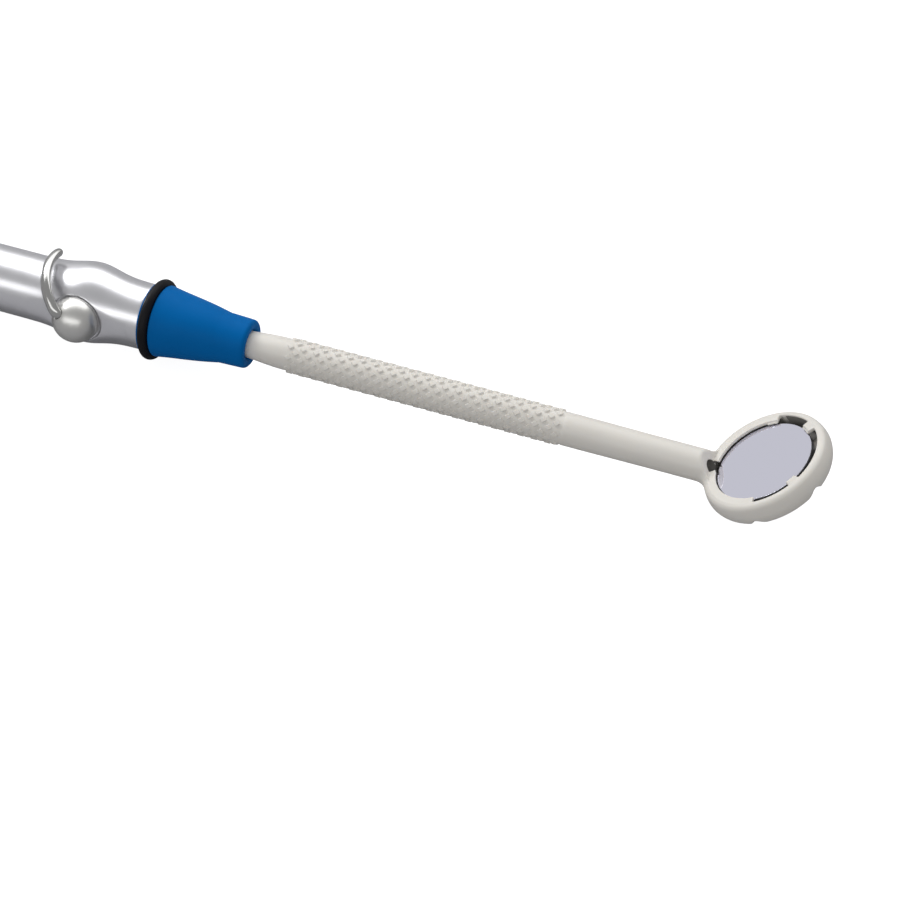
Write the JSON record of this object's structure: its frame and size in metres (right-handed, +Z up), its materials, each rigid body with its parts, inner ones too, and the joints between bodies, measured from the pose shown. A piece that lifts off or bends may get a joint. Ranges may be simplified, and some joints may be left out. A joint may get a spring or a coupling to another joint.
{
  "type": "suction mouth mirror",
  "caption": "Mouth mirror with a hollow suction handle and ring channel, plugged by a soft conical adapter into a metal suction handpiece with a lever valve and hose swivel.",
  "frame": {"origin": "on the surface that the part lies on, under the centre of its box", "axes": "+X along the handle's axis from the hose connector to the mirror, +Z up, out of the glass's upper side"},
  "size_m": [0.251, 0.0306, 0.0258],
  "materials": {
    "ivory_plastic": "fine moulded matt, warm light grey",
    "mirror_glass": "front-silvered flat glass",
    "blue_silicone": "soft-touch blue silicone",
    "black_rubber": "smooth black seal rubber",
    "satin_aluminium": "bead-blasted satin, anodised silver",
    "satin_nickel": "satin nickel plate",
    "polished_steel": "polished",
    "white_plastic": "plain slip washer"
  },
  "bodies": {
    "handpiece": {"handpiece_body": "satin_aluminium", "port_seal_front": "black_rubber", "port_seal_back": "black_rubber", "tail_nut": "satin_aluminium", "swivel_washer": "white_plastic"},
    "valve": {"valve_plug": "satin_aluminium", "plug_seal_near": "black_rubber", "plug_seal_far": "black_rubber", "ball_knob": "satin_nickel", "lever": "polished_steel", "retaining_washer": "satin_nickel", "retaining_screw": "polished_steel"},
    "connector": {"hose_connector": "satin_aluminium", "swivel_seal": "black_rubber"},
    "adapter": {"adapter_cone": "blue_silicone", "adapter_ring": "black_rubber"},
    "mirror": {"mirror_body": "ivory_plastic", "mirror_glass": "mirror_glass"}
  },
  "joints": [
    {"name": "valve_turn", "type": "hinge", "parent": "handpiece", "child": "valve", "pos_m": [-0.05694, 0, 0.0101], "axis": [0, 0.9703, -0.2419], "range_deg": [0, 84]},
    {"name": "hose_swivel", "type": "hinge", "parent": "handpiece", "child": "connector", "pos_m": [-0.1, 0, 0.0101], "axis": [1, 0, 0], "continuous": true},
    {"name": "adapter_swivel", "type": "hinge", "parent": "handpiece", "child": "adapter", "pos_m": [-0.04084, 0, 0.0101], "axis": [1, 0, 0], "continuous": true},
    {"name": "mirror_pull", "type": "slide", "parent": "adapter", "child": "mirror", "axis": [1, 0, 0], "range_m": [0, 0.018]}
  ]
}
